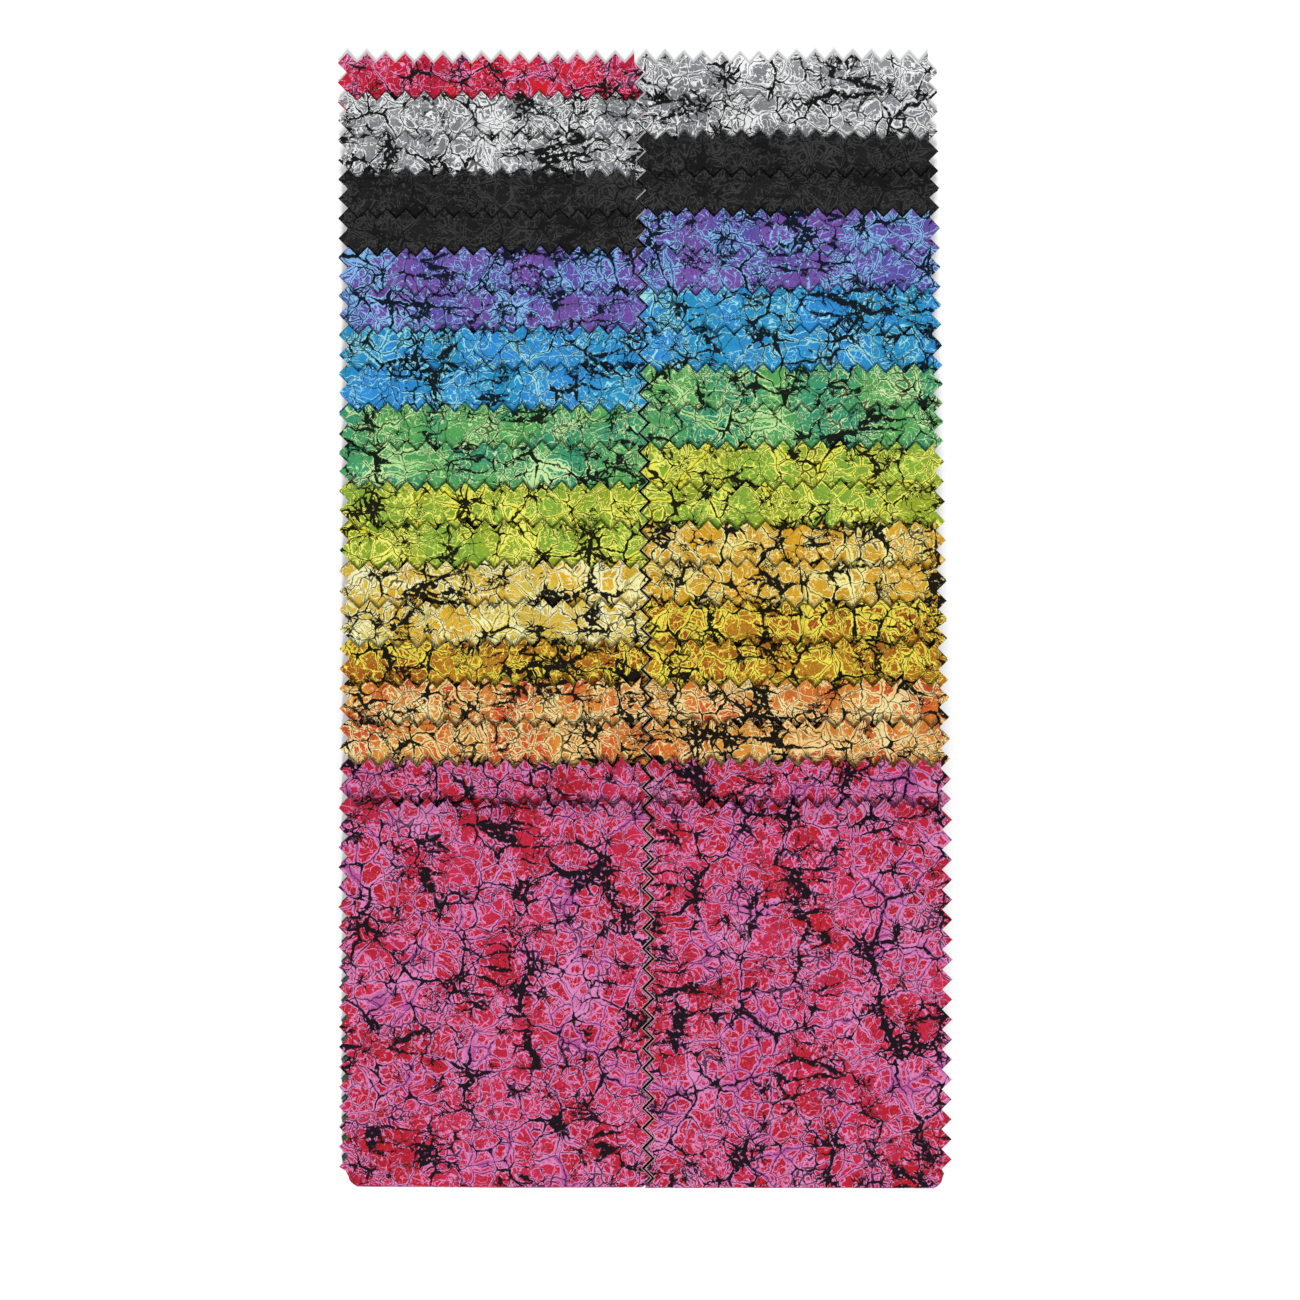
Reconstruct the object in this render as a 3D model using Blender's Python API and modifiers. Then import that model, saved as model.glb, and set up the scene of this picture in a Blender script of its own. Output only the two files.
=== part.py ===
"""Forty pinked strips of quilting cotton, folded flat and fanned in two columns.

Every strip is 2.5 by 42 inches. It is folded back and forth into a flat packet: the near
folds of a column lie on one line, and the pinked far ends stand one step apart, so that
each print shows. The length is along Y, the width along X, and the pack lies on Z = 0.
"""

import bmesh
import bpy

# The cut strip, in metres. Those on the right are cut a little narrower
INCH = 0.0254
LEFT_WIDTH = 2.5 * INCH
RIGHT_WIDTH = LEFT_WIDTH - 0.0011
STRIP_LENGTH = 42 * INCH
CLOTH = 0.00020

# Pinked teeth: along the sides, and across the visible end
TOOTH_PITCH = 0.00405
TOOTH_DEPTH = TOOTH_PITCH / 2
END_TEETH = 15.5

# The fan: each strip is two teeth shorter than the one it lies on
STRIPS_IN_COLUMN = 20
FRONT_TEETH = 19.5
STEP_TEETH = 2

# How a packet is folded
PLY_GAP = 0.00002
PLY_PITCH = CLOTH + PLY_GAP
FOLD_SHORT = 0.0045
TUCK_CLEARANCE = 0.002
PACKET_GAP = 0.0003

# How the columns lie: with their teeth in each other, each strip a little to the right
SEAM_GAP = 0.00048
STRIP_DRIFT = 0.000088

# Half teeth that are cut on a strip which the next one covers
COVERED_HALF_TEETH = 2 * STEP_TEETH + 1

CLOTH_ROUGHNESS = 0.85

# Linear colours of the printed cloths
PRINT_COLOURS = {
    "red": (0.58, 0.030, 0.085),
    "grey": (0.38, 0.39, 0.40),
    "black": (0.016, 0.016, 0.016),
    "purple": (0.145, 0.105, 0.36),
    "blue": (0.055, 0.26, 0.56),
    "green": (0.080, 0.30, 0.11),
    "lime": (0.32, 0.38, 0.045),
    "yellow": (0.58, 0.43, 0.105),
    "gold": (0.53, 0.33, 0.055),
    "amber": (0.40, 0.20, 0.022),
    "orange": (0.62, 0.22, 0.070),
    "pink": (0.45, 0.060, 0.145),
}

# Each column's prints from the lowest strip up, and how many strips have each
LEFT_PRINTS = {
    "red": 1,
    "grey": 2,
    "black": 2,
    "purple": 2,
    "blue": 2,
    "green": 2,
    "lime": 2,
    "yellow": 2,
    "amber": 1,
    "orange": 2,
    "pink": 2,
}
RIGHT_PRINTS = {
    "grey": 2,
    "black": 2,
    "purple": 2,
    "blue": 2,
    "green": 2,
    "lime": 2,
    "gold": 2,
    "amber": 2,
    "orange": 2,
    "pink": 2,
}


def clear_scene():
    """Removes what the startup file holds."""
    for obj in list(bpy.data.objects):
        bpy.data.objects.remove(obj)


def cloth_material(name, colour):
    """A matt cotton in one colour."""
    material = bpy.data.materials.new(name)
    material.use_nodes = True
    shader = material.node_tree.nodes["Principled BSDF"]
    shader.inputs["Base Color"].default_value = (*colour, 1.0)
    shader.inputs["Roughness"].default_value = CLOTH_ROUGHNESS
    shader.inputs["Metallic"].default_value = 0.0
    return material


def visible_length(place):
    """Length of the top ply of the strip at this place, counted from the lowest."""
    teeth = FRONT_TEETH + STEP_TEETH * (STRIPS_IN_COLUMN - 1 - place)
    return teeth * TOOTH_PITCH


def ply_levels(plies):
    """Level of each run of the folded strip, from its visible run on.

    The last run, which ends in the hidden cut end, is tucked in above the lowest one.
    """
    return list(range(plies - 1, 1, -1)) + [0, 1]


def fold_points(length, plies):
    """Corner points (y, z) of the strip's middle line, from the visible end on."""
    near = CLOTH / 2
    far = length - FOLD_SHORT
    points = [(length, CLOTH / 2 + (plies - 1) * PLY_PITCH)]
    for run, level in enumerate(ply_levels(plies)):
        height = CLOTH / 2 + level * PLY_PITCH
        start, end = (far, near) if run % 2 == 0 else (near, far)
        if run > 0:
            points.append((start, height))
        points.append((end, height))
    return points


def line_length(points):
    """Length along a line of (y, z) points, whose pieces are level or upright."""
    pairs = zip(points, points[1:])
    return sum(abs(b[0] - a[0]) + abs(b[1] - a[1]) for a, b in pairs)


def folded_line(length):
    """(plies, corner points) of a whole strip in a packet of this length."""
    plies = 3
    while line_length(fold_points(length, plies)) - TUCK_CLEARANCE < STRIP_LENGTH:
        plies += 1
    points = fold_points(length, plies)
    spare = line_length(points) - STRIP_LENGTH
    start, end = points[-2][0], points[-1][0]
    direction = 1 if end > start else -1
    points[-1] = (end - direction * spare, points[-1][1])
    return plies, points


def side_edges(half_tooth, width):
    """(left, right) of a pinked row: both sides are cut in one zigzag."""
    shift = TOOTH_DEPTH if half_tooth % 2 == 0 else 0.0
    return -width / 2 + shift, width / 2 - TOOTH_DEPTH + shift


def plain_edges(width):
    """(left, right) of a row that other cloth covers, along the bottoms of the teeth."""
    return -width / 2 + TOOTH_DEPTH, width / 2 - TOOTH_DEPTH


def pinked_end(width):
    """Points (x, distance from the end) of the zigzag across the visible end."""
    half_pitch = (width - TOOTH_DEPTH) / END_TEETH / 2
    left = side_edges(0, width)[0]
    half_teeth = int(2 * END_TEETH) - 1
    points = []
    for index in range(half_teeth + 1):
        depth = TOOTH_DEPTH if index % 2 else 0.0
        points.append((left + index * half_pitch, depth))
    last = points[-1][0]
    points.append((last + half_pitch / 2, half_pitch / 2))
    return points


def strip_mesh(name, length, width, toothed):
    """The folded strip as an open surface, and its number of plies."""
    plies, corners = folded_line(length)
    top = corners[0][1]
    half_pitch = TOOTH_PITCH / 2
    rows = []
    for half_tooth in range(1, toothed + 1):
        left, right = side_edges(half_tooth, width)
        rows.append((left, right, length - half_tooth * half_pitch, top))
    left, right = plain_edges(width)
    rows.append((left, right, length - (toothed + 1) * half_pitch, top))
    if rows[-1][2] <= CLOTH:
        rows.pop()
    for y, z in corners[1:]:
        rows.append((left, right, y, z))

    shape = bmesh.new()
    pairs = [
        (shape.verts.new((a, y, z)), shape.verts.new((b, y, z))) for a, b, y, z in rows
    ]
    end = [shape.verts.new((x, length - depth, top)) for x, depth in pinked_end(width)]
    shape.faces.new([pairs[0][0], pairs[0][1], *reversed(end)])
    for (a, b), (c, d) in zip(pairs, pairs[1:]):
        shape.faces.new((a, c, d, b))
    mesh = bpy.data.meshes.new(name)
    shape.to_mesh(mesh)
    shape.free()
    return mesh, plies


def add_thickness(obj):
    """Gives the open surface the thickness of the cloth, half to each side."""
    wall = obj.modifiers.new("cloth", "SOLIDIFY")
    wall.thickness = CLOTH
    wall.offset = 0.0
    wall.use_even_offset = True


def add_column(name, prints, width, left, materials, collection, parent):
    """Stacks one column of strips, the lowest with its left edge at x = left."""
    x = left + width / 2
    height = 0.0
    colours = [colour for colour, strips in prints.items() for _ in range(strips)]
    for place, colour in enumerate(colours):
        is_front = place == STRIPS_IN_COLUMN - 1
        toothed = int(2 * FRONT_TEETH) - 1 if is_front else COVERED_HALF_TEETH
        node = f"{name}_strip_{place + 1:02d}"
        mesh, plies = strip_mesh(node, visible_length(place), width, toothed)
        mesh.materials.append(materials[colour])
        obj = bpy.data.objects.new(node, mesh)
        obj.location = (x + place * STRIP_DRIFT, 0.0, height)
        obj.parent = parent
        collection.objects.link(obj)
        add_thickness(obj)
        height += plies * PLY_PITCH - PLY_GAP + PACKET_GAP


def centre_pack(parent, collection):
    """Moves the pack so that the middle of its footprint stands on the origin."""
    bpy.context.view_layer.update()
    graph = bpy.context.evaluated_depsgraph_get()
    corners = []
    for obj in collection.objects:
        if obj.type == "MESH":
            solid = obj.evaluated_get(graph).to_mesh()
            corners += [obj.matrix_world @ vertex.co for vertex in solid.vertices]
    for axis in (0, 1):
        values = [corner[axis] for corner in corners]
        parent.location[axis] = -(min(values) + max(values)) / 2


def main():
    """Builds the two columns."""
    clear_scene()
    collection = bpy.data.collections.new("fabric_strip_pack")
    bpy.context.scene.collection.children.link(collection)
    pack = bpy.data.objects.new("pack", None)
    collection.objects.link(pack)
    materials = {
        name: cloth_material(name + "_print", colour)
        for name, colour in PRINT_COLOURS.items()
    }
    seam = LEFT_WIDTH - TOOTH_DEPTH + SEAM_GAP
    layout = (materials, collection, pack)
    add_column("left", LEFT_PRINTS, LEFT_WIDTH, 0.0, *layout)
    add_column("right", RIGHT_PRINTS, RIGHT_WIDTH, seam, *layout)
    centre_pack(pack, collection)


main()
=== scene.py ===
"""Looks of a fanned pack of pinked fabric strips: printed cotton, folded flat in two columns.

Every strip is cut flat with its pinked edges, then folded back and forth along a fold line
by Geometry Nodes, so that its print runs round each fold as it does on the real cloth.
"""

from __future__ import annotations

import logging
from dataclasses import dataclass, field
from enum import Enum
from typing import Any, Mapping

import bpy
import numpy as np
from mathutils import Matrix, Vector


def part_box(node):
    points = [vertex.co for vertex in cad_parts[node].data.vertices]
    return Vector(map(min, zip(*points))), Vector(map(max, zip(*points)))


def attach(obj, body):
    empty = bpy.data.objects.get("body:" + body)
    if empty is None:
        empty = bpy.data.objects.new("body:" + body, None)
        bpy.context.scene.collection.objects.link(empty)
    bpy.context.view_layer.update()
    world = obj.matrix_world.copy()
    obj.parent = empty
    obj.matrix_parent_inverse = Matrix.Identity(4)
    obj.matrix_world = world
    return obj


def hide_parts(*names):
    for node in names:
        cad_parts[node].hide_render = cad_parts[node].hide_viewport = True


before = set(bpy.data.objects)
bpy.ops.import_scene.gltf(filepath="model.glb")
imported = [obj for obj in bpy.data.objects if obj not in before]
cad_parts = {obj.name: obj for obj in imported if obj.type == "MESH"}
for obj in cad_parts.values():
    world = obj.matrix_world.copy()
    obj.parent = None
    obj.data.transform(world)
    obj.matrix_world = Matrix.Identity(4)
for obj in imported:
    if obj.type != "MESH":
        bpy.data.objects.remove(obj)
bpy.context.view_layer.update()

LOG = logging.getLogger("strips")

MM = 0.001
UV_NAME = "cloth"
REVERSE = "reverse"

# The cut strip and how it is folded, as in the CAD
STRIP_LENGTH = 1.0668
PLY_PITCH = 0.22 * MM
TOOTH_PITCH = 4.05 * MM
HALF_TOOTH = TOOTH_PITCH / 2
TOOTH_DEPTH = TOOTH_PITCH / 2
END_TEETH = 15.5
STRIPS_IN_COLUMN = 20

# Where the random draws of each column start
LEFT_SEED = 100
RIGHT_SEED = 200

# A screen's values in light: straight up to a small value, then a power
STRAIGHT_TO = 0.04045
STRAIGHT_SLOPE = 12.92
POWER_OFFSET = 0.055
POWER = 2.4

# The middle of a noise, and of a mark that is 0 or 1
MIDDLE = 0.5

# The colour sockets of a Mix node
MIX_FIRST = 6
MIX_SECOND = 7
MIX_RESULT = 2

Colour = tuple[float, float, float]


def linear(code: str) -> Colour:
    """Turns a hex colour, as a screen shows it, into linear light.

    Args:
        code: six hex digits after a #.

    Returns:
        Red, green and blue in linear light.
    """
    light = []
    for at in (1, 3, 5):
        part = int(code[at : at + 2], 16) / 255
        if part <= STRAIGHT_TO:
            light.append(part / STRAIGHT_SLOPE)
        else:
            light.append(((part + POWER_OFFSET) / (1 + POWER_OFFSET)) ** POWER)
    return tuple(light)


class Value:
    """A socket that takes part in Python arithmetic."""

    def __init__(self, graph: "Graph", socket: bpy.types.NodeSocket) -> None:
        """Keeps the graph that the socket belongs to."""
        self.graph = graph
        self.socket = socket

    def __add__(self, other: "Number") -> "Value":
        """Adds a number or a value."""
        return self.graph.math("ADD", self, other)

    def __sub__(self, other: "Number") -> "Value":
        """Takes a number or a value away."""
        return self.graph.math("SUBTRACT", self, other)

    def __rsub__(self, other: "Number") -> "Value":
        """Is taken away from a number."""
        return self.graph.math("SUBTRACT", other, self)

    def __mul__(self, other: "Number") -> "Value":
        """Multiplies by a number or a value."""
        return self.graph.math("MULTIPLY", self, other)

    def __rmul__(self, other: "Number") -> "Value":
        """Multiplies a number."""
        return self.graph.math("MULTIPLY", other, self)

    def __truediv__(self, other: "Number") -> "Value":
        """Divides by a number or a value."""
        return self.graph.math("DIVIDE", self, other)

    def __neg__(self) -> "Value":
        """Changes the sign."""
        return self.graph.math("MULTIPLY", self, -1.0)

    def abs(self) -> "Value":
        """The size without the sign."""
        return self.graph.math("ABSOLUTE", self)

    def clamped(self) -> "Value":
        """The value kept from 0 to 1."""
        return self.graph.math("ADD", self, 0.0, clamp=True)

    def above(self, limit: "Number", soft: float) -> "Value":
        """A mask that is 1 above a limit.

        Args:
            limit: where the mask is half.
            soft: how wide the change from 0 to 1 is.

        Returns:
            The mask, from 0 to 1.
        """
        return ((self - limit) / soft + MIDDLE).clamped()

    def below(self, limit: "Number", soft: float) -> "Value":
        """A mask that is 1 below a limit, with a change this wide."""
        return 1 - self.above(limit, soft)


Number = Value | float


class Graph:
    """Adds nodes to a tree of shader or geometry nodes."""

    def __init__(self, tree: bpy.types.NodeTree) -> None:
        """Works on this tree."""
        self.tree = tree

    def feed(self, socket: bpy.types.NodeSocket, value: Any) -> None:
        """Links a value, a node's first output or a socket to an input, or sets a plain number."""
        if isinstance(value, Value):
            value = value.socket
        if isinstance(value, bpy.types.Node):
            value = value.outputs[0]
        if isinstance(value, bpy.types.NodeSocket):
            self.tree.links.new(value, socket)
        else:
            socket.default_value = value

    def add(
        self,
        kind: str,
        settings: Mapping[str, Any] | None = None,
        inputs: Mapping[str | int, Any] | None = None,
    ) -> bpy.types.Node:
        """Adds one node.

        Args:
            kind: the node's type.
            settings: its own settings, which are set first.
            inputs: values or links, by socket name or number.

        Returns:
            The new node.
        """
        node = self.tree.nodes.new(kind)
        for name, value in (settings or {}).items():
            setattr(node, name, value)
        for name, value in (inputs or {}).items():
            self.feed(node.inputs[name], value)
        return node

    def value(self, node: bpy.types.Node, output: str | int = 0) -> Value:
        """A node's output, ready for arithmetic."""
        return Value(self, node.outputs[output])

    def math(self, operation: str, *values: Number, clamp: bool = False) -> Value:
        """Adds a Math node on one to three values."""
        settings = {"operation": operation, "use_clamp": clamp}
        return self.value(self.add("ShaderNodeMath", settings, dict(enumerate(values))))

    def vector(self, operation: str, *values: Any) -> bpy.types.Node:
        """Adds a Vector Math node on one to three vectors."""
        return self.add("ShaderNodeVectorMath", {"operation": operation}, dict(enumerate(values)))

    def mixed(self, first: Any, second: Any, share: Number) -> bpy.types.NodeSocket:
        """Blends two colours.

        Args:
            first: the colour where share is 0.
            second: the colour where share is 1.
            share: how much of the second.

        Returns:
            The socket of the blended colour.
        """
        node = self.add("ShaderNodeMix", {"data_type": "RGBA"}, {0: share})
        for socket, colour in ((node.inputs[MIX_FIRST], first), (node.inputs[MIX_SECOND], second)):
            self.feed(socket, (*colour, 1.0) if isinstance(colour, tuple) else colour)
        return node.outputs[MIX_RESULT]


@dataclass(frozen=True)
class Palette:
    """Dye colours of one print, as they look in even white light.

    Its pools spread further, and its veins are thicker, by so many millimetres than usual.
    """

    ground: str
    mottle: str
    pool: str
    outline: str
    vein: str
    spread: float = 0.0
    ink: float = 0.0


class Print(Enum):
    """The prints of the pack."""

    RED = Palette("#D81D2A", "#BE1A3A", "#CE4C90", "#F29ACC", "#140608", spread=-0.15)
    GREY = Palette("#94969A", "#7E8083", "#B2B3B5", "#FFFFFF", "#0C0C0C", ink=0.06)
    BLACK = Palette("#1C1C1C", "#161616", "#242424", "#3F3F3F", "#0C0C0C")
    PURPLE = Palette("#7850A8", "#6050A8", "#5E86C2", "#92CAFA", "#061026", spread=-0.10, ink=0.04)
    BLUE = Palette("#3090DA", "#2896CA", "#4CB0D4", "#AAECF0", "#02131E", spread=-0.18)
    GREEN = Palette("#58AA5C", "#389874", "#8CCA74", "#D4F6AE", "#04160A", spread=-0.14)
    LIME = Palette("#88B23C", "#9AAE2E", "#DEDA30", "#FFFF78", "#121400", spread=-0.06)
    YELLOW = Palette("#E6B62A", "#DEC44E", "#F2DE66", "#FFFFD0", "#120E02")
    GOLD = Palette("#E0A622", "#D8A62A", "#E8D464", "#FFF8AE", "#120E02", spread=-0.08, ink=0.14)
    AMBER = Palette("#BC7E20", "#A8561C", "#DCC444", "#FFF058", "#120A00", ink=0.08)
    ORANGE = Palette("#D45628", "#E49636", "#EEB866", "#FFEEAE", "#140C02", ink=0.08)
    PINK = Palette("#BE1C2A", "#CC2848", "#B8549A", "#E48EC4", "#140410", ink=0.03)


LEFT_PRINTS = {
    Print.RED: 1,
    Print.GREY: 2,
    Print.BLACK: 2,
    Print.PURPLE: 2,
    Print.BLUE: 2,
    Print.GREEN: 2,
    Print.LIME: 2,
    Print.YELLOW: 2,
    Print.AMBER: 1,
    Print.ORANGE: 2,
    Print.PINK: 2,
}
RIGHT_PRINTS = {
    Print.GREY: 2,
    Print.BLACK: 2,
    Print.PURPLE: 2,
    Print.BLUE: 2,
    Print.GREEN: 2,
    Print.LIME: 2,
    Print.GOLD: 2,
    Print.AMBER: 2,
    Print.ORANGE: 2,
    Print.PINK: 2,
}


@dataclass(frozen=True)
class Patches:
    """Soft patches, where a noise is above a level. Its size is in millimetres of cloth."""

    size: float
    detail: float
    level: float
    soft: float
    strength: float = 1.0


@dataclass(frozen=True)
class Reach:
    """How many millimetres a colour reaches from a crack, and how that varies with the place."""

    base: float
    in_patch: float
    at_joint: float = 0.0

    def at(self, patch: Value, joint: Value | None = None) -> Value:
        """The reach in a patch of this density and, for a line, this near to a joint."""
        reach = patch * self.in_patch + self.base
        return reach if joint is None else reach + joint * self.at_joint


@dataclass(frozen=True)
class PrintedCotton:
    """Woven cotton with a wax-crackle print. Sizes are millimetres of cloth."""

    palette: Palette
    tone: float = 0.80

    # Cells between cracks, from the largest down, and long slivers
    vein_cell: float = 9.5
    cell: float = 4.1
    web_cell: float = 1.9
    sliver_cell: float = 3.2
    sliver_turn: float = 0.35
    sliver_squeeze: float = 0.22

    # Noises that bend the cracks, fray their edges and crowd them in patches
    bend_size: float = 6.0
    bend_reach: float = 3.6
    fray_size: float = 0.6
    fray_detail: float = 3.0
    fray_reach: float = 0.45
    crowd_size: float = 15.0
    cluster_size: float = 6.5

    # Pools of the second colour round the cracks, and their pale outlines
    vein_pool: Reach = Reach(0.32, 2.2)
    cell_pool: Reach = Reach(0.12, 1.6)
    web_pool: Reach = Reach(0.02, 1.8)
    pool_fray: float = 0.6
    pool_soft: float = 0.08
    outline_inset: float = 0.02
    outline_width: float = 0.08
    outline_soft: float = 0.06
    outline_strength: float = 0.9

    # Dark lines along the cracks, and the even fine ones
    vein: Reach = Reach(-0.10, 0.9, 1.4)
    branch: Reach = Reach(-0.11, 1.0, 1.2)
    hair: Reach = Reach(-0.17, 1.1, 1.4)
    slit: Reach = Reach(-0.16, -2.2, 0.4)
    line_soft: float = 0.10
    hair_soft: float = 0.09
    seam_width: float = 0.08
    seam_strength: float = 0.9
    filament: Reach = Reach(-0.02, 1.1)
    filament_strength: float = 0.85
    fine_soft: float = 0.07

    # Blots with crooked rays
    star_cell: float = 7.4
    star_scatter: float = 0.8
    star_rays: float = 2.0
    star_apart: float = 40.0
    star_reach: float = 6.4
    star_from: float = 0.3
    star_soft: float = 0.05
    ray_width: float = 0.24
    ray_crook: float = 2.6
    ray_soft: float = 0.08
    blot_growth: float = 1.1
    blot_least: float = 0.35
    blot_soft: float = 0.15

    # Fine pale curls in patches, and scratches between them
    curl_size: float = 1.7
    curl_width: float = 0.02
    curl_patches: Patches = Patches(5.5, 2.0, 0.46, 0.08)
    scratch_patches: Patches = Patches(5.5, 2.0, 0.50, 0.08)
    scratch_width: float = 0.06
    scratch_soft: float = 0.05

    # Uneven dye, and beads that the dark leaves bare
    beads: Patches = Patches(0.95, 1.0, 0.67, 0.06)
    mottle: Patches = Patches(13.0, 1.0, 0.50, 0.22)
    deep_dye: Patches = Patches(3.5, 3.0, 0.50, 0.40, 0.18)
    wash: Patches = Patches(11.0, 2.0, 0.54, 0.20, 0.8)
    specks: Patches = Patches(0.5, 1.0, 0.70, 0.08, 0.6)

    # The cloth itself
    thread: float = 0.36
    thread_relief: float = 0.35
    thread_level: float = 0.4
    slub_size: float = 1.4
    slub_relief: float = 0.4
    weave_strength: float = 0.35
    weave_depth: float = 0.05 * MM
    wear_size: float = 0.5
    wear_shade: float = 0.30
    reverse: str = "#D8D2C8"
    reverse_paleness: float = 0.45
    roughness: float = 0.86
    dark_smoothness: float = 0.08
    wear_smoothness: float = 0.05
    specular: float = 0.12

    def dye(self, code: str) -> Colour:
        """The linear colour of a dye under the studio light."""
        return tuple(part * self.tone for part in linear(code))

    def noise(self, graph: Graph, at: Any, size: float, detail: float = 2.0) -> bpy.types.Node:
        """A 2D noise whose lumps are this many millimetres across."""
        inputs = {"Vector": at, "Scale": 1 / size, "Detail": detail}
        return graph.add("ShaderNodeTexNoise", {"noise_dimensions": "2D"}, inputs)

    def swing(self, graph: Graph, at: Any, size: float, detail: float = 2.0) -> Value:
        """The same noise, as a value on both sides of 0."""
        return graph.value(self.noise(graph, at, size, detail)) - MIDDLE

    def patches(self, graph: Graph, at: Any, kind: Patches) -> Value:
        """A mask of soft patches, as strong as their kind says."""
        noise = graph.value(self.noise(graph, at, kind.size, kind.detail))
        return noise.above(kind.level, kind.soft) * kind.strength

    def shifted(self, graph: Graph, at: Any, noise: bpy.types.Node, reach: float) -> bpy.types.Node:
        """Places moved by up to half of reach, the way a noise's colour points."""
        centred = graph.vector("SUBTRACT", noise.outputs["Color"], (MIDDLE,) * 3)
        settings = {"operation": "SCALE"}
        scaled = graph.add("ShaderNodeVectorMath", settings, {0: centred, "Scale": reach})
        return graph.vector("ADD", at, scaled)

    def crack(self, graph: Graph, at: Any, size: float) -> Value:
        """Millimetres to the nearest edge between cells of this size."""
        settings = {"voronoi_dimensions": "2D", "feature": "DISTANCE_TO_EDGE"}
        node = graph.add("ShaderNodeTexVoronoi", settings, {"Vector": at, "Scale": 1 / size})
        return graph.value(node, "Distance") * size

    def joint(self, graph: Graph, at: Any, size: float) -> Value:
        """How near a place is to where cracks of this size meet: highest there, below 0 in a cell."""
        settings = {"voronoi_dimensions": "2D", "feature": "F1"}
        node = graph.add("ShaderNodeTexVoronoi", settings, {"Vector": at, "Scale": 1 / size})
        return graph.value(node, "Distance") - MIDDLE

    def stars(self, graph: Graph, at: Any) -> Value:
        """A mask of scattered blots, each with crooked hairlines running out of it."""
        settings = {"voronoi_dimensions": "2D", "feature": "F1"}
        inputs = {"Vector": at, "Scale": 1 / self.star_cell, "Randomness": self.star_scatter}
        node = graph.add("ShaderNodeTexVoronoi", settings, inputs)
        away = graph.vector("SUBTRACT", at, node.outputs["Position"])
        radius = graph.value(graph.vector("LENGTH", away), "Value")
        colour = graph.add("ShaderNodeSeparateColor", inputs={0: node.outputs["Color"]})
        chance = graph.value(colour)
        ring = graph.vector("NORMALIZE", away)
        level = graph.add("ShaderNodeCombineXYZ", inputs={"Z": chance * self.star_apart})
        around = graph.vector("ADD", ring, level)
        inputs = {"Vector": around, "Scale": self.star_rays, "Detail": 0.0}
        swing = graph.value(graph.add("ShaderNodeTexNoise", inputs=inputs)) - MIDDLE
        off_ray = swing.abs() * radius * self.ray_crook
        ray_width = self.ray_width * (1 - radius / (chance * self.star_reach))
        rays = off_ray.below(ray_width, self.ray_soft) * chance.above(self.star_from, self.star_soft)
        blot = radius.below(chance * self.blot_growth - self.blot_least, self.blot_soft)
        return graph.math("MAXIMUM", rays, blot)

    def slivers(self, graph: Graph, at: Any) -> Value:
        """Distance to the nearest edge between long slivers, lying aslant."""
        inputs = {
            "Vector": at,
            "Rotation": (0.0, 0.0, self.sliver_turn),
            "Scale": (self.sliver_squeeze, 1.0, 1.0),
        }
        stretched = graph.add("ShaderNodeMapping", {"vector_type": "POINT"}, inputs)
        return self.crack(graph, stretched, self.sliver_cell)

    def scribbles(self, graph: Graph, cloth: Any, bent: Any, sliver: Value) -> Value:
        """A mask of fine curls and long scratches, in patches.

        Args:
            graph: the material's nodes.
            cloth: places on the flat cloth, in millimetres.
            bent: the same places, moved as the cracks are.
            sliver: how far the nearest edge of a long sliver is.

        Returns:
            The mask of the fine pale lines.
        """
        lumps = self.swing(graph, bent, self.curl_size, detail=1.0)
        curls = lumps.abs().below(self.curl_width, self.curl_width)
        curls = curls * self.patches(graph, cloth, self.curl_patches)
        scratches = sliver.below(self.scratch_width, self.scratch_soft)
        scratches = scratches * (1 - self.patches(graph, cloth, self.scratch_patches))
        return graph.math("MAXIMUM", curls, scratches)

    def print_colour(self, graph: Graph, cloth: Any) -> tuple[bpy.types.NodeSocket, Value]:
        """The print: dark veins in pools of a second colour, round ragged cells of ground colour.

        Args:
            graph: the material's nodes.
            cloth: places on the flat cloth, in millimetres.

        Returns:
            The printed colour, and a mask of the dark veins.
        """
        palette = self.palette
        bends = self.noise(graph, cloth, self.bend_size)
        fray = self.noise(graph, cloth, self.fray_size, self.fray_detail)
        bent = self.shifted(graph, cloth, bends, self.bend_reach)
        bent = self.shifted(graph, bent, fray, self.fray_reach)
        ragged = graph.value(fray) - MIDDLE
        crowd = self.swing(graph, cloth, self.crowd_size, detail=1.0)
        cluster = self.swing(graph, cloth, self.cluster_size)

        big = self.crack(graph, bent, self.vein_cell)
        middle = self.crack(graph, bent, self.cell)
        small = self.crack(graph, bent, self.web_cell)
        sliver = self.slivers(graph, bent)

        pool = graph.math("MINIMUM", big - self.vein_pool.at(crowd), middle - self.cell_pool.at(crowd))
        pool = graph.math("MINIMUM", pool, small - self.web_pool.at(cluster))
        edge = pool + ragged * self.pool_fray - palette.spread
        in_pool = edge.below(0.0, self.pool_soft)
        outline = (edge - self.outline_inset).abs().below(self.outline_width, self.outline_soft)

        meeting = self.joint(graph, bent, self.vein_cell)
        crossing = self.joint(graph, bent, self.cell)
        lines = [
            big.below(self.vein.at(crowd, meeting) + palette.ink, self.line_soft),
            middle.below(self.branch.at(cluster, crossing) + palette.ink, self.line_soft),
            small.below(self.hair.at(cluster, meeting) + palette.ink, self.hair_soft),
            sliver.below(self.slit.at(crowd, ragged), self.line_soft),
            self.stars(graph, bent),
        ]
        dark = self.strongest(graph, lines) * (1 - self.patches(graph, cloth, self.beads))
        seams = graph.math("MINIMUM", big, middle).below(self.seam_width, self.fine_soft)
        filaments = small.below(self.filament.at(cluster), self.fine_soft)
        fine = [seams * self.seam_strength, filaments * self.filament_strength]
        dark = self.strongest(graph, [dark, *fine])

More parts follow.
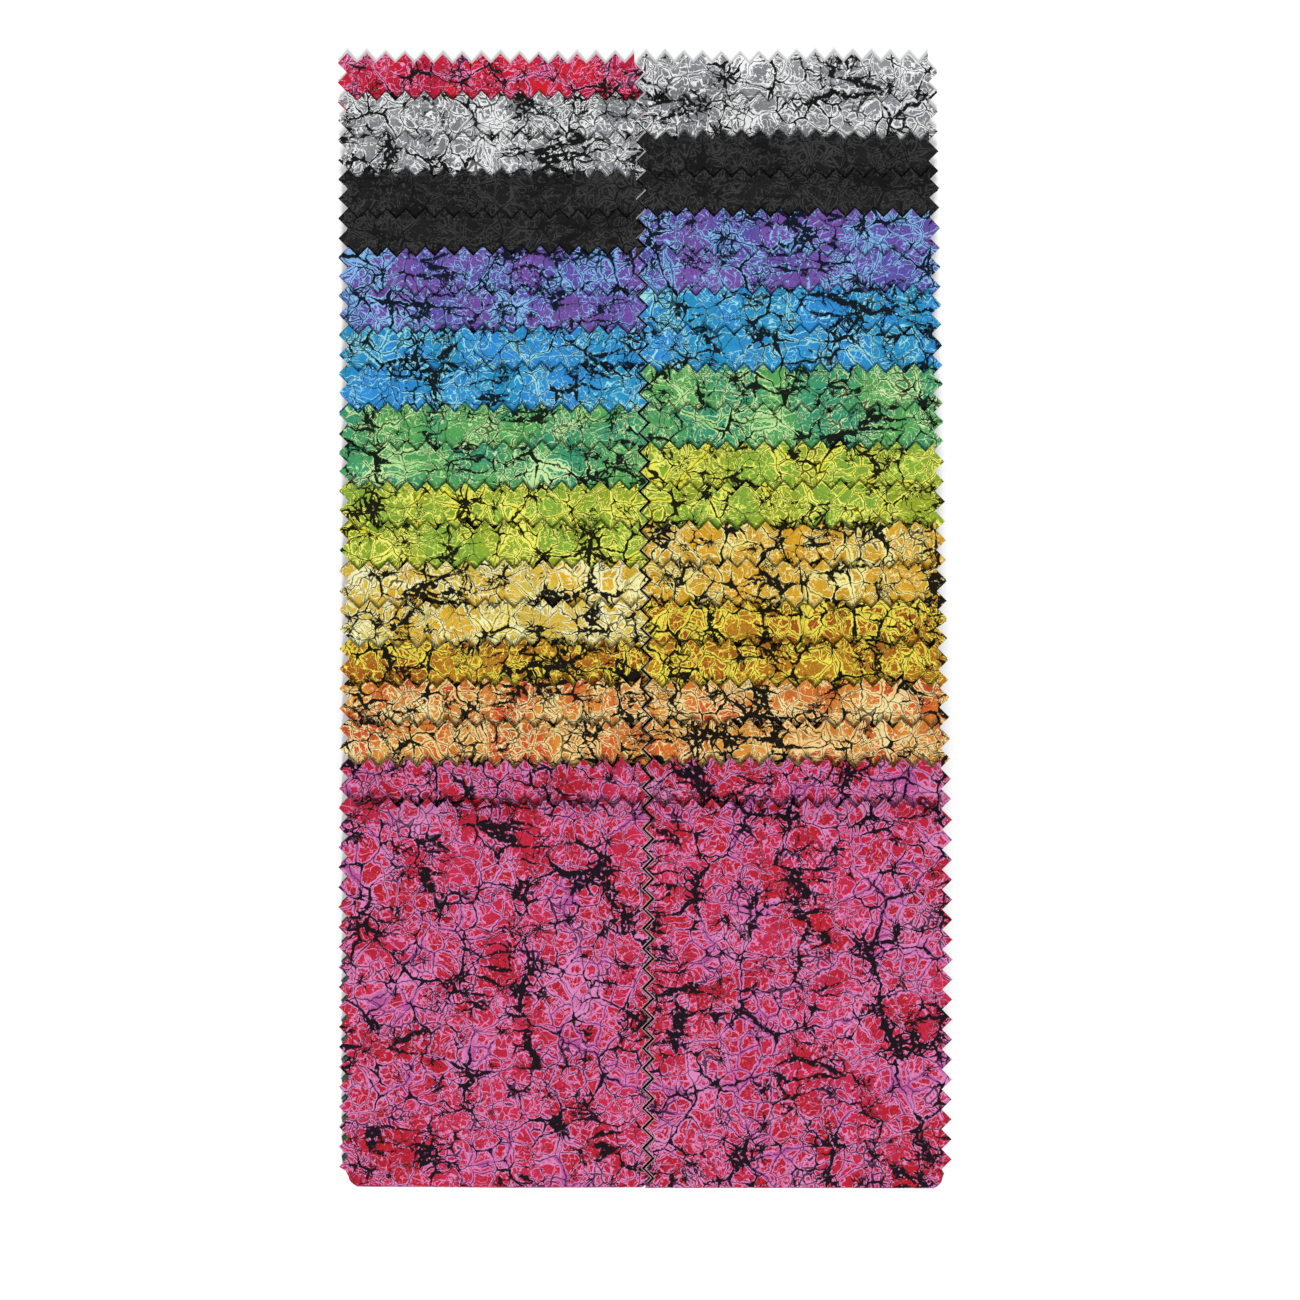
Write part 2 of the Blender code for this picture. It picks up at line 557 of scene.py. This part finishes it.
        mottle = self.patches(graph, cloth, self.mottle)
        ground = graph.mixed(self.dye(palette.ground), self.dye(palette.mottle), mottle)
        ground = graph.mixed(ground, self.dye(palette.vein), self.patches(graph, cloth, self.deep_dye))
        wash = self.patches(graph, cloth, self.wash)
        second = graph.mixed(self.dye(palette.pool), self.dye(palette.outline), wash)
        specks = self.patches(graph, cloth, self.specks)
        colour = graph.mixed(ground, second, graph.math("MAXIMUM", in_pool, specks))
        pale = graph.math("MAXIMUM", outline, self.scribbles(graph, cloth, bent, sliver))
        colour = graph.mixed(colour, self.dye(palette.outline), pale * self.outline_strength)
        return graph.mixed(colour, self.dye(palette.vein), dark), dark

    def strongest(self, graph: Graph, masks: list[Value]) -> Value:
        """The highest of some masks."""
        highest = masks[0]
        for mask in masks[1:]:
            highest = graph.math("MAXIMUM", highest, mask)
        return highest

    def weave(self, graph: Graph, cloth: Any) -> Value:
        """Height of the plain weave, from 0 to 1."""
        across = graph.add("ShaderNodeSeparateXYZ", inputs={0: cloth})
        turn = 2 * np.pi / self.thread
        warp = graph.math("SINE", graph.value(across, 0) * turn)
        weft = graph.math("SINE", graph.value(across, 1) * turn)
        slub = graph.value(self.noise(graph, cloth, self.slub_size, detail=1.0))
        return warp * weft * self.thread_relief + self.thread_level + slub * self.slub_relief

    def material(self, name: str) -> bpy.types.Material:
        """Builds the material.

        Args:
            name: the material's name.

        Returns:
            The printed cotton, paler on the cloth's reverse.
        """
        material = bpy.data.materials.new(name)
        material.use_nodes = True
        graph = Graph(material.node_tree)
        shader = graph.tree.nodes["Principled BSDF"]
        cloth = graph.add("ShaderNodeUVMap", {"uv_map": UV_NAME})
        colour, dark = self.print_colour(graph, cloth)
        wear = graph.value(self.noise(graph, cloth, self.wear_size))
        faded = graph.mixed(colour, self.dye(self.reverse), self.reverse_paleness)
        back = graph.value(graph.add("ShaderNodeAttribute", {"attribute_name": REVERSE}), "Fac")
        sided = graph.mixed(colour, faded, back)
        worn = graph.mixed(sided, (0.0, 0.0, 0.0), (MIDDLE - wear) * self.wear_shade)
        graph.feed(shader.inputs["Base Color"], worn)
        roughness = self.roughness - dark * self.dark_smoothness - wear * self.wear_smoothness
        graph.feed(shader.inputs["Roughness"], roughness)
        inputs = {"Strength": self.weave_strength, "Distance": self.weave_depth}
        bump = graph.add("ShaderNodeBump", inputs=inputs)
        graph.feed(bump.inputs["Height"], self.weave(graph, cloth))
        graph.feed(shader.inputs["Normal"], bump)
        shader.inputs["Specular IOR Level"].default_value = self.specular
        return material


@dataclass(frozen=True)
class FoldTree:
    """The Geometry Nodes that pink a flat strip and fold it along a line."""

    name: str = "pink and fold"
    wave_size: float = 38 * MM
    curl_size: float = 11 * MM
    curl_contrast: float = 3.0
    curl_share: float = 0.9
    drift_size: float = 45 * MM
    skew_size: float = 30 * MM
    skew_share: float = 2.5
    skew_seed: float = 0.5
    hidden_seam_share: float = 0.2
    tucked_from: float = 0.05
    tucked_soft: float = 0.01
    plain_soft: float = 1e-4
    reverse_soft: float = 1e-6

    def sockets(self, tree: bpy.types.NodeTree) -> None:
        """Gives the tree its named inputs."""
        kinds = {
            "Cloth": "NodeSocketGeometry",
            "Fold line": "NodeSocketObject",
            "Tooth pitch": "NodeSocketFloat",
            "Tooth depth": "NodeSocketFloat",
            "First tip": "NodeSocketFloat",
            "End pitch": "NodeSocketFloat",
            "Half width": "NodeSocketFloat",
            "Outer side": "NodeSocketFloat",
            "Seam inset": "NodeSocketFloat",
            "Run": "NodeSocketFloat",
            "Plain to": "NodeSocketFloat",
            "Corner": "NodeSocketFloat",
            "Wander": "NodeSocketFloat",
            "Wave height": "NodeSocketFloat",
            "Droop": "NodeSocketFloat",
            "Drooping length": "NodeSocketFloat",
            "Seed": "NodeSocketFloat",
            "Cut from": "NodeSocketVector",
            "Place": "NodeSocketVector",
            "Cotton": "NodeSocketMaterial",
        }
        for name, kind in kinds.items():
            tree.interface.new_socket(name=name, in_out="INPUT", socket_type=kind)
        tree.interface.new_socket(name="Strip", in_out="OUTPUT", socket_type="NodeSocketGeometry")

    def attribute(self, graph: Graph, name: str) -> Value:
        """A named number on each point."""
        settings = {"data_type": "FLOAT"}
        node = graph.add("GeometryNodeInputNamedAttribute", settings, {"Name": name})
        return graph.value(node, "Attribute")

    def on_line(self, graph: Graph, given: bpy.types.Node, along: Value) -> bpy.types.Node:
        """Samples the fold line at a length along it."""
        line = graph.add("GeometryNodeObjectInfo", inputs={"Object": given.outputs["Fold line"]})
        settings = {"mode": "LENGTH", "data_type": "FLOAT"}
        inputs = {"Curves": line.outputs["Geometry"], "Length": along}
        return graph.add("GeometryNodeSampleCurve", settings, inputs)

    def noise(self, graph: Graph, x: Number, y: Number) -> Value:
        """A flat noise with lumps of about 1, at this place."""
        place = graph.add("ShaderNodeCombineXYZ", inputs={"X": x, "Y": y})
        inputs = {"Vector": place, "Scale": 1.0, "Detail": 1.0}
        return graph.value(graph.add("ShaderNodeTexNoise", {"noise_dimensions": "2D"}, inputs))

    def pinked(self, graph: Graph, given: bpy.types.Node, flat: bpy.types.Node) -> tuple[Value, Value]:
        """The flat place of each point once the edges are pinked.

        Args:
            graph: the tree's nodes.
            given: the group's inputs.
            flat: the separated position on the uncut strip.

        Returns:
            The place across the strip, and the length along it.
        """
        x = graph.value(flat, "X")
        along = -graph.value(flat, "Y")
        edge = self.attribute(graph, "edge")
        depth = graph.value(given, "Tooth depth")
        sampled = self.on_line(graph, given, along).outputs["Position"]
        from_fold = graph.value(graph.add("ShaderNodeSeparateXYZ", inputs={0: sampled}), "Y")
        half = graph.value(given, "Tooth pitch") / 2
        swing = graph.math("PINGPONG", (graph.value(given, "Run") - from_fold) / half, 1.0)
        on_left = edge.below(-MIDDLE, MIDDLE)
        on_right = edge.above(MIDDLE, MIDDLE)
        zigzag = on_left * (1 - swing) * depth - on_right * swing * depth

        outer_side = graph.value(given, "Outer side")
        on_outer = (edge * outer_side).above(MIDDLE, MIDDLE)
        on_seam = (edge * outer_side).below(-MIDDLE, MIDDLE)
        plain = from_fold.below(graph.value(given, "Plain to"), self.plain_soft)
        corner = graph.value(given, "Corner")
        below_corner = graph.math("MAXIMUM", corner - from_fold, 0.0)
        tuck = self.attribute(graph, "tuck")
        drawn_in = graph.math("MAXIMUM", plain, tuck) * depth + below_corner * below_corner / corner
        hidden = tuck.above(self.tucked_from, self.tucked_soft)
        at_seam = graph.value(given, "Seam inset") * (1 - hidden * (1 - self.hidden_seam_share))
        inward = on_outer * drawn_in - on_seam * at_seam
        across = x + zigzag * (1 - on_outer * plain) - outer_side * inward

        steps = (x - graph.value(given, "First tip")) / (graph.value(given, "End pitch") / 2)
        end = self.attribute(graph, "end") * graph.math("PINGPONG", steps, 1.0) * depth
        return across, along + end

    def marked(
        self, graph: Graph, given: bpy.types.Node, across: Value, along: Value, lift: Value
    ) -> bpy.types.Node:
        """Stores each point's place on the printed cloth, and which face of it is the reverse.

        Args:
            graph: the tree's nodes.
            given: the group's inputs.
            across: the place across the strip.
            along: the length along it.
            lift: the height over the middle of the cloth's thickness.

        Returns:
            The node whose first output is the marked cloth.
        """
        printed = graph.add("ShaderNodeCombineXYZ", inputs={"X": across / MM, "Y": along / MM})
        cut_from = graph.vector("ADD", printed, given.outputs["Cut from"])
        settings = {"data_type": "FLOAT2", "domain": "CORNER"}
        inputs = {"Geometry": given.outputs["Cloth"], "Name": UV_NAME, "Value": cut_from}
        mapped = graph.add("GeometryNodeStoreNamedAttribute", settings, inputs)
        settings = {"data_type": "FLOAT", "domain": "POINT"}
        inputs = {"Geometry": mapped, "Name": REVERSE, "Value": lift.below(0.0, self.reverse_soft)}
        return graph.add("GeometryNodeStoreNamedAttribute", settings, inputs)

    def folded(
        self, graph: Graph, given: bpy.types.Node, across: Value, along: Value, lift: Value
    ) -> bpy.types.Node:
        """Each point's place on the folded strip, which wanders a little sideways and endways.

        Args:
            graph: the tree's nodes.
            given: the group's inputs.
            across: the place across the strip.
            along: the length along it.
            lift: the height over the middle of the cloth's thickness.

        Returns:
            The node whose first output is the place.
        """
        sample = self.on_line(graph, given, along)
        upward = graph.vector("CROSS_PRODUCT", sample.outputs["Tangent"], (1.0, 0.0, 0.0))
        settings = {"operation": "SCALE"}
        raised = graph.add("ShaderNodeVectorMath", settings, {0: upward, "Scale": lift})
        on_line = graph.vector("ADD", sample.outputs["Position"], raised)
        seed = graph.value(given, "Seed")
        wander = graph.value(given, "Wander")
        drift = self.noise(graph, along / self.drift_size, seed) - MIDDLE
        outer = across * graph.value(given, "Outer side") / graph.value(given, "Half width")
        sideways = across + drift * outer.clamped() * wander
        skew = self.noise(graph, across / self.skew_size, seed + self.skew_seed) - MIDDLE
        shift = {"X": sideways, "Y": skew * wander * self.skew_share}
        shifted = graph.vector("ADD", on_line, graph.add("ShaderNodeCombineXYZ", inputs=shift))
        return graph.vector("ADD", shifted, given.outputs["Place"])

    def relief(self, graph: Graph, given: bpy.types.Node, folded: bpy.types.Node, along: Value) -> Value:
        """How far each point rises in the cloth's waves, or droops at its free end.

        Args:
            graph: the tree's nodes.
            given: the group's inputs.
            folded: the place on the folded strip.
            along: the length along the strip.

        Returns:
            The height to add.
        """
        place = graph.add("ShaderNodeSeparateXYZ", inputs={0: folded})
        x, y = (graph.value(place, axis) / self.wave_size for axis in ("X", "Y"))
        wave = self.noise(graph, x, y) * graph.value(given, "Wave height")
        free_end = (1 - along / graph.value(given, "Drooping length")).clamped()
        inputs = {"Vector": folded, "Scale": 1 / self.curl_size, "Detail": 1.0}
        curl = graph.value(graph.add("ShaderNodeTexNoise", inputs=inputs)) - MIDDLE
        bend = (curl * self.curl_contrast + self.curl_share).clamped()
        return wave - free_end * graph.value(given, "Droop") * bend

    def build(self) -> bpy.types.NodeTree:
        """Builds the tree.

        Returns:
            The tree, which ends in a realised mesh with its material.
        """
        tree = bpy.data.node_groups.new(self.name, "GeometryNodeTree")
        self.sockets(tree)
        graph = Graph(tree)
        given = graph.add("NodeGroupInput")
        flat = graph.add("ShaderNodeSeparateXYZ", inputs={0: graph.add("GeometryNodeInputPosition")})
        across, along = self.pinked(graph, given, flat)
        lift = graph.value(flat, "Z")
        marked = self.marked(graph, given, across, along, lift)
        folded = self.folded(graph, given, across, along, lift)
        rise = graph.add("ShaderNodeCombineXYZ", inputs={"Z": self.relief(graph, given, folded, along)})
        inputs = {"Geometry": marked, "Position": graph.vector("ADD", folded, rise)}
        moved = graph.add("GeometryNodeSetPosition", inputs=inputs)
        real = graph.add("GeometryNodeRealizeInstances", inputs={0: moved})
        inputs = {"Geometry": real, "Material": given.outputs["Cotton"]}
        dressed = graph.add("GeometryNodeSetMaterial", inputs=inputs)
        graph.add("NodeGroupOutput", inputs={0: dressed})
        return tree


@dataclass
class FoldedStrip:
    """One cut strip, folded back and forth into the place of its CAD node."""

    node: str
    outer_side: float
    place: int
    cotton: bpy.types.Material
    tree: bpy.types.NodeTree
    seed: int
    cloth: float = 0.17 * MM

    # Where the folds lie, how uneven they are, and how short the tucked end is at least
    near_folds: float = 0.2 * MM
    near_slack: float = 0.35 * MM
    far_setback: float = 4.5 * MM
    far_slack: float = 1.6 * MM
    slack_step: float = 0.8
    tail_setback: float = 5 * MM
    arc_steps: int = 6

    # Plain sides and rounded corners by the near folds, and where rows of points lie
    plain_to: float = 3.2 * MM
    corner: float = 1.9 * MM
    corner_rows: tuple[float, ...] = (1.0, 0.7, 0.4)
    rows_apart: float = 0.05 * MM
    covered_rows: int = 6
    front_margin: float = 1 * MM
    front_turn: float = 0.5 * MM

    # How hidden plies and the seam's side are drawn in, in teeth and in millimetres
    tucked: float = 0.35
    seam_inset: float = 0.34 * MM

    # Unevenness, and droop in packet heights. The lowest strips' ends stand up instead
    wander: float = 0.5 * MM
    wave: float = 0.10 * MM
    droop: float = 0.5
    lowest_droop: float = -1.0
    drooping_length: float = 4.4 * MM

    # Millimetres of printed cloth that a strip may be cut from, each way
    printed_cloth: float = 900.0
    low: np.ndarray = field(init=False)
    high: np.ndarray = field(init=False)

    def __post_init__(self) -> None:
        """Reads the node's place from the frame."""
        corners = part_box(self.node)
        self.low, self.high = (np.array(corner, float) for corner in corners)
        self.random = np.random.default_rng(self.seed)

    @property
    def is_front(self) -> bool:
        """Whether no strip lies on this one."""
        return self.place == STRIPS_IN_COLUMN - 1

    @property
    def width(self) -> float:
        """The cut width, from tip to tip."""
        return float(self.high[0] - self.low[0])

    @property
    def run(self) -> float:
        """Length of the visible run."""
        return float(self.high[1] - self.low[1])

    @property
    def plies(self) -> int:
        """How many runs lie on each other."""
        return round(float(self.high[2] - self.low[2]) / PLY_PITCH)

    def levels(self) -> list[int]:
        """The level of each run. The last is tucked in above the lowest."""
        return list(range(self.plies - 1, 1, -1)) + [0, 1]

    def arc(self, y: float, start: float, end: float, outward: int) -> np.ndarray:
        """Points round one fold, as (y, z).

        Args:
            y: where the two runs end.
            start: height of the run that comes in.
            end: height of the run that goes out.
            outward: 1 where the fold bulges towards +Y, else -1.

        Returns:
            The points in order along the cloth.
        """
        radius = (start - end) / 2
        turns = np.linspace(np.pi / 2, -np.pi / 2, self.arc_steps + 1)
        bulge = abs(radius) * np.cos(turns) * outward
        return np.stack([y + bulge, (start + end) / 2 + radius * np.sin(turns)], axis=1)

    def fold_line(self) -> np.ndarray:
        """The middle line of the folded cloth, from the visible end on.

        Returns:
            Its points as (y, z) before placing, with the near folds at y = 0.
        """
        heights = [PLY_PITCH * (level + MIDDLE) for level in self.levels()]
        near, far = self.near_folds, self.run - self.far_setback
        slack = 1.0
        while True:
            points = [np.array([[self.run, heights[0]]])]
            steps = np.random.default_rng(self.seed)
            for number, (start, end) in enumerate(zip(heights, heights[1:])):
                if number % 2 == 0:
                    y = near + slack * self.near_slack * steps.random()
                    points.append(self.arc(y, start, end, -1))
                else:
                    y = far - slack * self.far_slack * steps.random()
                    points.append(self.arc(y, start, end, 1))
            line = np.concatenate(points)
            used = np.linalg.norm(np.diff(line, axis=0), axis=1).sum()
            rest = STRIP_LENGTH - used
            if rest < far - self.tail_setback:
                break
            slack *= self.slack_step
        direction = 1 if len(heights) % 2 == 0 else -1
        tail = np.array([[line[-1, 0] + direction * rest, heights[-1]]])
        return np.concatenate([line, tail])

    def rows(self, line: np.ndarray) -> list[float]:
        """Lengths along the strip at which a row of points lies.

        Args:
            line: points of the fold line.

        Returns:
            The lengths of the line's own points and of each half tooth on its runs.
        """
        teeth = [self.run - HALF_TOOTH * number for number in range(int(self.run / HALF_TOOTH) + 1)]
        corner = [share * self.corner for share in self.corner_rows]
        levels = np.array([*teeth, self.plain_to, *corner])
        lengths = np.concatenate([[0.0], np.linalg.norm(np.diff(line, axis=0), axis=1).cumsum()])
        rows = [float(length) for length in lengths]
        for (start, _), (end, _), length in zip(line, line[1:], lengths):
            low, high = min(start, end) + self.rows_apart, max(start, end) - self.rows_apart
            if abs(end - start) > HALF_TOOTH:
                inside = levels[(levels > low) & (levels < high)]
                rows += [float(length + abs(level - start)) for level in inside]
        return sorted(rows)

    def flat_cloth(self, line: np.ndarray) -> bpy.types.Mesh:
        """The uncut strip as a flat sheet, with the marks that the pinking follows.

        Args:
            line: points of the fold line.

        Returns:
            A mesh with x across the strip, and -y along it from the visible end.
        """
        half_width = self.width / 2
        columns = int(2 * END_TEETH)
        end_half = (self.width - TOOTH_DEPTH) / columns
        first = -half_width + TOOTH_DEPTH
        inner = [first + number * end_half for number in range(1, columns - 1)]
        fine_to = self.run - self.front_margin if self.is_front else self.covered_rows * HALF_TOOTH
        points: list[tuple[float, float, float]] = []
        edge: list[float] = []
        tuck: list[float] = []
        faces: list[list[int]] = []
        rows: list[list[int]] = []
        for along in self.rows(line):
            at_end = along == 0.0
            fine = along <= fine_to
            left = first if at_end else -half_width
            right = first + (columns - 1) * end_half if at_end else half_width
            across = [left, *inner, right] if fine else [left, 0.0, right]
            start = len(points)
            points += [(x, -along, 0.0) for x in across]
            marks = [0.0] * len(across)
            if not at_end:
                marks[0], marks[-1] = -1.0, 1.0
            edge += marks
            in_view = fine or (self.is_front and along <= self.run + self.front_turn)
            tuck += [0.0 if in_view else self.tucked] * len(across)
            rows.append(list(range(start, len(points))))
        for upper, lower in zip(rows, rows[1:]):
            if len(upper) == len(lower):
                faces += [
                    [upper[k], lower[k], lower[k + 1], upper[k + 1]] for k in range(len(upper) - 1)
                ]
            else:
                middle = len(upper) // 2
                faces.append([lower[0], lower[1], *reversed(upper[: middle + 1])])
                faces.append([lower[1], lower[2], *reversed(upper[middle:])])
        mesh = bpy.data.meshes.new(self.node + "_flat")
        mesh.from_pydata(points, [], faces)
        ends = [1.0] * len(rows[0]) + [0.0] * (len(points) - len(rows[0]))
        for name, values in (("edge", edge), ("tuck", tuck), ("end", ends)):
            mesh.attributes.new(name, "FLOAT", "POINT").data.foreach_set("value", values)
        return mesh

    def line_object(self, line: np.ndarray) -> bpy.types.Object:
        """The fold line as a curve for the tree to follow."""
        curve = bpy.data.curves.new(self.node + "_line", "CURVE")
        curve.dimensions = "3D"
        spline = curve.splines.new("POLY")
        spline.points.add(len(line) - 1)
        for point, (y, z) in zip(spline.points, line):
            point.co = (0.0, y, z, 1.0)
        obj = bpy.data.objects.new(self.node + "_line", curve)
        bpy.context.scene.collection.objects.link(obj)
        return obj

    def settings(self, line: bpy.types.Object) -> dict[str, Any]:
        """The tree's inputs for this strip."""
        half_width = self.width / 2
        middle = (self.low[0] + self.high[0]) / 2
        droop = self.droop if self.place else self.lowest_droop
        return {
            "Fold line": line,
            "Tooth pitch": TOOTH_PITCH,
            "Tooth depth": TOOTH_DEPTH,
            "First tip": TOOTH_DEPTH - half_width,
            "End pitch": (self.width - TOOTH_DEPTH) / END_TEETH,
            "Half width": half_width,
            "Outer side": self.outer_side,
            "Seam inset": self.seam_inset * self.place / STRIPS_IN_COLUMN,
            "Run": self.run,
            "Plain to": self.plain_to,
            "Corner": self.corner,
            "Wander": self.wander,
            "Wave height": self.wave,
            "Droop": droop * self.plies * PLY_PITCH,
            "Drooping length": self.drooping_length,
            "Seed": float(self.seed),
            "Cut from": (*self.random.uniform(0.0, self.printed_cloth, 2), 0.0),
            "Place": (float(middle), float(self.low[1]), float(self.low[2])),
            "Cotton": self.cotton,
        }

    def build(self) -> bpy.types.Object:
        """Cuts, pinks and folds the strip.

        Returns:
            The finished piece, as a plain mesh at the origin.
        """
        line = self.fold_line()
        curve = self.line_object(line)
        name = self.node + "_cloth"
        draft = bpy.data.objects.new(name + "_draft", self.flat_cloth(line))
        bpy.context.scene.collection.objects.link(draft)
        wall = draft.modifiers.new("cloth", "SOLIDIFY")
        wall.thickness = self.cloth
        wall.offset = 0.0
        nodes = draft.modifiers.new("fold", "NODES")
        nodes.node_group = self.tree
        identifiers = {item.name: item.identifier for item in self.tree.interface.items_tree}
        for label, value in self.settings(curve).items():
            nodes[identifiers[label]] = value
        graph = bpy.context.evaluated_depsgraph_get()
        mesh = bpy.data.meshes.new_from_object(draft.evaluated_get(graph), depsgraph=graph)
        for unused in (draft, curve):
            bpy.data.objects.remove(unused)
        mesh.name = name
        piece = bpy.data.objects.new(name, mesh)
        bpy.context.scene.collection.objects.link(piece)
        return piece


@dataclass
class StripColumn:
    """One column of strips, from the lowest up."""

    side: str
    outer_side: float
    prints: Mapping[Print, int]
    cottons: Mapping[Print, bpy.types.Material]
    tree: bpy.types.NodeTree
    first_seed: int

    def build(self) -> None:
        order = [cotton for cotton, strips in self.prints.items() for _ in range(strips)]
        for place, cotton in enumerate(order):
            node = f"{self.side}_strip_{place + 1:02d}"
            strip = FoldedStrip(
                node,
                self.outer_side,
                place,
                self.cottons[cotton],
                self.tree,
                self.first_seed + place,
            )
            piece = strip.build()
            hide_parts(node)
            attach(piece, "root")
            strip.width
            LOG.info("%s: %d plies, %d faces", piece.name, strip.plies, len(piece.data.polygons))


@dataclass
class Studio:
    """A pale floor, soft light and the camera over the pack."""

    target: tuple[float, float] = (1.75 * MM, -7.3 * MM)
    distance: float = 1.85
    view_width: float = 269.75 * MM
    sensor: float = 36.0
    clip_end: float = 20.0
    floor_size: float = 6.0
    floor_tone: float = 0.60
    floor_glow: float = 0.36
    floor_roughness: float = 0.9
    floor_specular: float = 0.1
    lamp_tilts: tuple[float, ...] = (20.0, 27.0, 34.0)
    lamp_spread: float = 8.0
    lamp_energy: float = 2.95
    sky: float = 0.43

    def floor(self) -> None:
        """Lays a plain white floor."""
        bpy.ops.mesh.primitive_plane_add(size=self.floor_size)
        floor = bpy.context.object
        floor.name = "floor"
        material = bpy.data.materials.new("paper_white")
        material.use_nodes = True
        shader = material.node_tree.nodes["Principled BSDF"]
        shader.inputs["Base Color"].default_value = (*[self.floor_tone] * 3, 1.0)
        shader.inputs["Roughness"].default_value = self.floor_roughness
        shader.inputs["Specular IOR Level"].default_value = self.floor_specular
        shader.inputs["Emission Color"].default_value = (1.0, 1.0, 1.0, 1.0)
        shader.inputs["Emission Strength"].default_value = self.floor_glow
        floor.data.materials.append(material)

    def light(self) -> None:
        """Lights the pack evenly from the sky, and by soft lamps over its fold end."""
        world = bpy.data.worlds.new("studio")
        world.use_nodes = True
        background = world.node_tree.nodes["Background"]
        background.inputs["Color"].default_value = (1.0, 1.0, 1.0, 1.0)
        background.inputs["Strength"].default_value = self.sky
        bpy.context.scene.world = world
        for tilt in self.lamp_tilts:
            lamp = bpy.data.lights.new("key", "SUN")
            lamp.energy = self.lamp_energy / len(self.lamp_tilts)
            lamp.angle = np.radians(self.lamp_spread)
            key = bpy.data.objects.new("key", lamp)
            key.rotation_euler = (np.radians(tilt), 0.0, 0.0)
            bpy.context.scene.collection.objects.link(key)

    def camera(self) -> None:
        """Looks straight down, as the photo does."""
        lens = bpy.data.cameras.new("camera")
        lens.sensor_width = self.sensor
        lens.lens = self.sensor * self.distance / self.view_width
        lens.clip_end = self.clip_end
        camera = bpy.data.objects.new("camera", lens)
        camera.location = (*self.target, self.distance)
        bpy.context.scene.collection.objects.link(camera)
        bpy.context.scene.camera = camera
        bpy.context.scene.view_settings.view_transform = "Standard"

    def build(self) -> None:
        """Sets the studio up."""
        self.floor()
        self.light()
        self.camera()


def main() -> None:
    """Builds the cottons, both columns and the studio."""
    logging.basicConfig(level=logging.INFO, format="%(name)s %(message)s")
    Studio().build()
    cottons = {
        cotton: PrintedCotton(cotton.value).material(cotton.name.lower() + "_cotton")
        for cotton in Print
    }
    tree = FoldTree().build()
    StripColumn("left", -1.0, LEFT_PRINTS, cottons, tree, LEFT_SEED).build()
    StripColumn("right", 1.0, RIGHT_PRINTS, cottons, tree, RIGHT_SEED).build()


if __name__ == "__main__":
    main()
